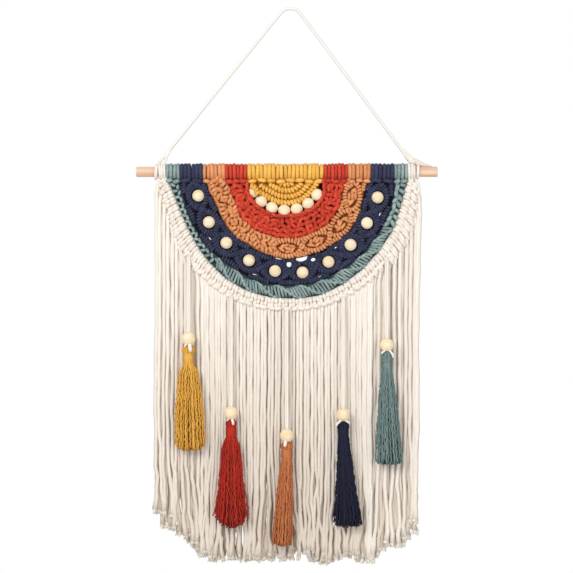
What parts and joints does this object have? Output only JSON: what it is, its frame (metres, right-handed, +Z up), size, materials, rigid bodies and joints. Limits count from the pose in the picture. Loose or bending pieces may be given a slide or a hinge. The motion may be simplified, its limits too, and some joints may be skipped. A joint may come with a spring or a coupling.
{
  "type": "macrame wall hanging on a wooden dowel",
  "caption": "Macrame wall hanging: a half disc of knotted coloured bands with beads under a wooden dowel, a long white fringe, yarn tassels and a cord hanger.",
  "frame": {"origin": "hang point: the underside of the hanger cord where it lies over its nail", "axes": "+Z up, the front faces -Y, +Y points to the wall, +X to the right seen from the front"},
  "size_m": [0.35, 0.0286, 0.6539],
  "materials": {
    "wood": "sanded, bare",
    "bead_wood": "turned smooth, bare",
    "cotton": "natural cotton cord",
    "yellow_cord": "dyed cotton cord",
    "red_cord": "dyed cotton cord",
    "orange_cord": "dyed cotton cord",
    "navy_cord": "dyed cotton cord",
    "teal_cord": "dyed cotton cord",
    "mustard_yarn": "dyed cotton yarn",
    "rust_yarn": "dyed cotton yarn",
    "terracotta_yarn": "dyed cotton yarn",
    "midnight_yarn": "dyed cotton yarn",
    "sea_yarn": "dyed cotton yarn"
  },
  "bodies": {
    "root": {"dowel": "wood", "hanger_cord": "cotton", "hanger_wrap_left": "cotton", "hanger_wrap_right": "cotton", "yellow_fan": "yellow_cord", "red_band": "red_cord", "orange_band": "orange_cord", "navy_band": "navy_cord", "teal_band": "teal_cord", "white_band": "cotton", "inner_bead_1": "bead_wood", "inner_bead_2": "bead_wood", "inner_bead_3": "bead_wood", "inner_bead_4": "bead_wood", "inner_bead_5": "bead_wood", "inner_bead_6": "bead_wood", "inner_bead_7": "bead_wood", "navy_bead_1": "bead_wood", "navy_bead_2": "bead_wood", "navy_bead_3": "bead_wood", "navy_bead_4": "bead_wood", "navy_bead_5": "bead_wood", "navy_bead_6": "bead_wood", "navy_bead_7": "bead_wood", "navy_bead_8": "bead_wood", "navy_bead_9": "bead_wood", "navy_bead_10": "bead_wood", "fringe_left": "cotton", "fringe_middle": "cotton", "fringe_right": "cotton", "tassel_cord_1": "cotton", "tassel_cord_2": "cotton", "tassel_cord_3": "cotton", "tassel_cord_4": "cotton", "tassel_cord_5": "cotton", "tassel_bead_1": "bead_wood", "tassel_bead_2": "bead_wood", "tassel_bead_3": "bead_wood", "tassel_bead_4": "bead_wood", "tassel_bead_5": "bead_wood", "tassel_1": "mustard_yarn", "tassel_2": "rust_yarn", "tassel_3": "terracotta_yarn", "tassel_4": "midnight_yarn", "tassel_5": "sea_yarn"}
  },
  "joints": []
}
